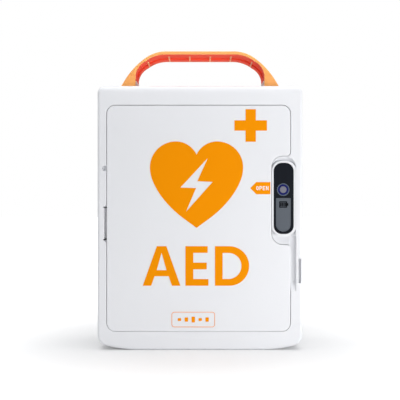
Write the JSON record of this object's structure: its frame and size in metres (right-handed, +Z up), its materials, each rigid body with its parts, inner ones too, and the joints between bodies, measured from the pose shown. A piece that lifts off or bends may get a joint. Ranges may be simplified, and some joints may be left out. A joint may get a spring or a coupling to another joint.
{
  "type": "automated external defibrillator",
  "caption": "Upright lidded defibrillator in a white moulded case with an arched orange carrying handle, a side-hinged front door, a status window and a rear battery pack.",
  "frame": {"origin": "under the middle of the case, on the surface it stands on", "axes": "+Z up, -Y out of the front door, +X to the right seen from the front"},
  "size_m": [0.22, 0.09, 0.3249],
  "materials": {
    "case_white": "satin moulded plastic",
    "lid_white": "satin moulded plastic",
    "inner_grey": "fine spark texture",
    "handle_orange": "gloss",
    "grip_red": "satin elastomer",
    "label_orange": "printed film",
    "window_black": "gloss",
    "display": "satin",
    "ring": "satin",
    "ring_light": "translucent",
    "ring_lens": "satin",
    "seal_rubber": "matt",
    "steel": "zinc plated",
    "overlay": "printed film",
    "power_green": "satin",
    "shock_orange": "satin",
    "info_blue": "satin",
    "light_lens": "translucent",
    "dark_plastic": "matt",
    "pouch_foil": "foil laminate",
    "circuit_green": "solder mask",
    "aluminium": "brushed",
    "ferrite": "matt",
    "copper": "lacquered wire",
    "glass": "clear",
    "cell_wrap": "shrink wrap"
  },
  "bodies": {
    "case": {"battery_contacts": "copper", "board_chips": "dark_plastic", "board_connectors": "dark_plastic", "coin_cell": "steel", "control_panel": "inner_grey", "discharge_relay": "dark_plastic", "front_housing": "case_white", "handle_grip": "grip_red", "handle_pins": "steel", "handle_shell": "handle_orange", "heat_sink": "aluminium", "hinge_pin": "steel", "housing_gasket": "seal_rubber", "housing_screws": "steel", "key_board": "circuit_green", "main_board": "circuit_green", "pads_pouch": "pouch_foil", "pads_socket": "dark_plastic", "panel_overlay": "overlay", "panel_screws": "steel", "power_board": "circuit_green", "push_switches": "dark_plastic", "rear_feet": "seal_rubber", "rear_housing": "case_white", "reed_switch": "glass", "ring_lens": "ring_lens", "ring_light": "ring_light", "ring_trim": "ring", "shock_ring": "light_lens", "speaker_cone": "dark_plastic", "speaker_frame": "dark_plastic", "speaker_magnet": "steel", "status_bezel": "window_black", "status_board": "circuit_green", "status_display": "display", "status_lights": "light_lens", "storage_capacitor": "aluminium", "transformer_core": "ferrite", "transformer_winding": "copper", "window_gasket": "seal_rubber"},
    "lid": {"lid_panel": "lid_white", "lid_liner": "inner_grey", "lid_gasket": "seal_rubber", "hinge_arm": "inner_grey", "hinge_arm_screws": "steel", "lid_catch": "inner_grey", "lid_magnet": "steel", "heart_label": "label_orange", "cross_label": "label_orange", "letters_label": "label_orange", "open_tag": "label_orange", "base_label": "label_orange"},
    "power_button": {"power_button": "power_green"},
    "shock_button": {"shock_button": "shock_orange"},
    "info_button": {"info_button": "info_blue"},
    "patient_selector": {"patient_selector": "dark_plastic"},
    "battery": {"battery_case": "inner_grey", "battery_cells": "cell_wrap", "battery_cover": "inner_grey"},
    "battery_latch": {"battery_latch": "dark_plastic"}
  },
  "joints": [
    {"name": "lid_hinge", "type": "hinge", "parent": "case", "child": "lid", "pos_m": [-0.1049, -0.0416, 0.1355], "axis": [0, 0, -1], "range_deg": [0, 105]},
    {"name": "power_button_press", "type": "slide", "parent": "case", "child": "power_button", "axis": [0, 1, 0], "range_m": [0, 0.0015], "stiffness_N_per_m": 400, "springref_m": -0.0005},
    {"name": "shock_button_press", "type": "slide", "parent": "case", "child": "shock_button", "axis": [0, 1, 0], "range_m": [0, 0.0015], "stiffness_N_per_m": 400, "springref_m": -0.0005},
    {"name": "info_button_press", "type": "slide", "parent": "case", "child": "info_button", "axis": [0, 1, 0], "range_m": [0, 0.0015], "stiffness_N_per_m": 400, "springref_m": -0.0005},
    {"name": "patient_selector_slide", "type": "slide", "parent": "case", "child": "patient_selector", "axis": [1, 0, 0], "range_m": [0, 0.008]},
    {"name": "battery_slide", "type": "slide", "parent": "case", "child": "battery", "axis": [0, 1, 0], "range_m": [0, 0.045]},
    {"name": "battery_latch_slide", "type": "slide", "parent": "battery", "child": "battery_latch", "axis": [0, 0, -1], "range_m": [0, 0.003], "stiffness_N_per_m": 400, "springref_m": -0.0005}
  ]
}
